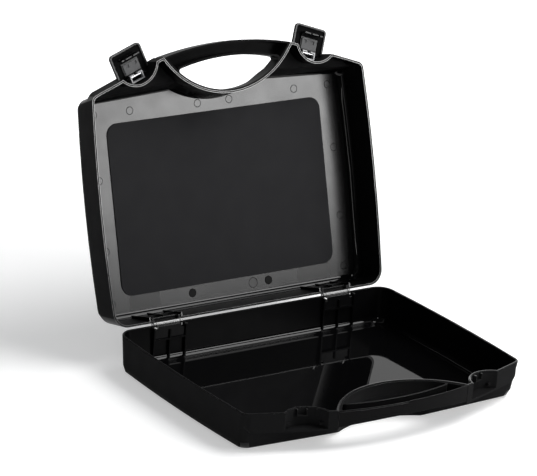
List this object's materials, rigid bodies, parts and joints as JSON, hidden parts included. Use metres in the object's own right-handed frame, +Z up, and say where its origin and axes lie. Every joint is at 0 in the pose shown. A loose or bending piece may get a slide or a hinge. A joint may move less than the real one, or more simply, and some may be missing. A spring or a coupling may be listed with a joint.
{
  "type": "hinged hard case",
  "caption": "Hard case for a laptop: two moulded half shells hinged at the back, a split carrying handle at the front and flip latches beside it.",
  "frame": {"origin": "middle of the base's underside, halfway between the hinge edge and the front corners", "axes": "+Z up, +X to the right across the width, -Y towards the handle, +Y towards the hinges"},
  "size_m": [0.401, 0.451, 0.3673],
  "materials": {
    "shell": "moulded black, fine texture outside and glossy inside",
    "handle": "moulded black, fine texture",
    "hinge": "glossy black",
    "pin": "drawn steel",
    "latch": "satin black",
    "clasp": "satin grey",
    "bracket": "glossy grey",
    "panel": "matte dark grey"
  },
  "bodies": {
    "base": {"base_shell": "shell", "base_handle_half": "handle", "hinge_base_leaf_left": "hinge", "hinge_base_leaf_right": "hinge", "hinge_pin_left": "pin", "hinge_pin_right": "pin"},
    "lid": {"lid_shell": "shell", "lid_handle_half": "handle", "hinge_lid_leaf_left": "hinge", "hinge_lid_leaf_right": "hinge", "latch_bracket_left": "bracket", "latch_bracket_right": "bracket", "latch_pin_left": "pin", "latch_pin_right": "pin", "lid_panel": "panel"},
    "latch_left": {"latch_lever_left": "latch", "latch_clasp_left": "clasp"},
    "latch_right": {"latch_lever_right": "latch", "latch_clasp_right": "clasp"}
  },
  "joints": [
    {"name": "lid_hinge", "type": "hinge", "parent": "base", "child": "lid", "pos_m": [0, 0.141, 0.048], "axis": [-1, 0, 0], "range_deg": [-106.4, 0]},
    {"name": "latch_left_hinge", "type": "hinge", "parent": "lid", "child": "latch_left", "pos_m": [-0.12501, 0.23933, 0.33075], "axis": [-0.9432, -0.0938, -0.3188], "range_deg": [-90, 0]},
    {"name": "latch_right_hinge", "type": "hinge", "parent": "lid", "child": "latch_right", "pos_m": [0.12501, 0.23933, 0.33075], "axis": [-0.9432, 0.0938, 0.3188], "range_deg": [-90, 0]}
  ]
}
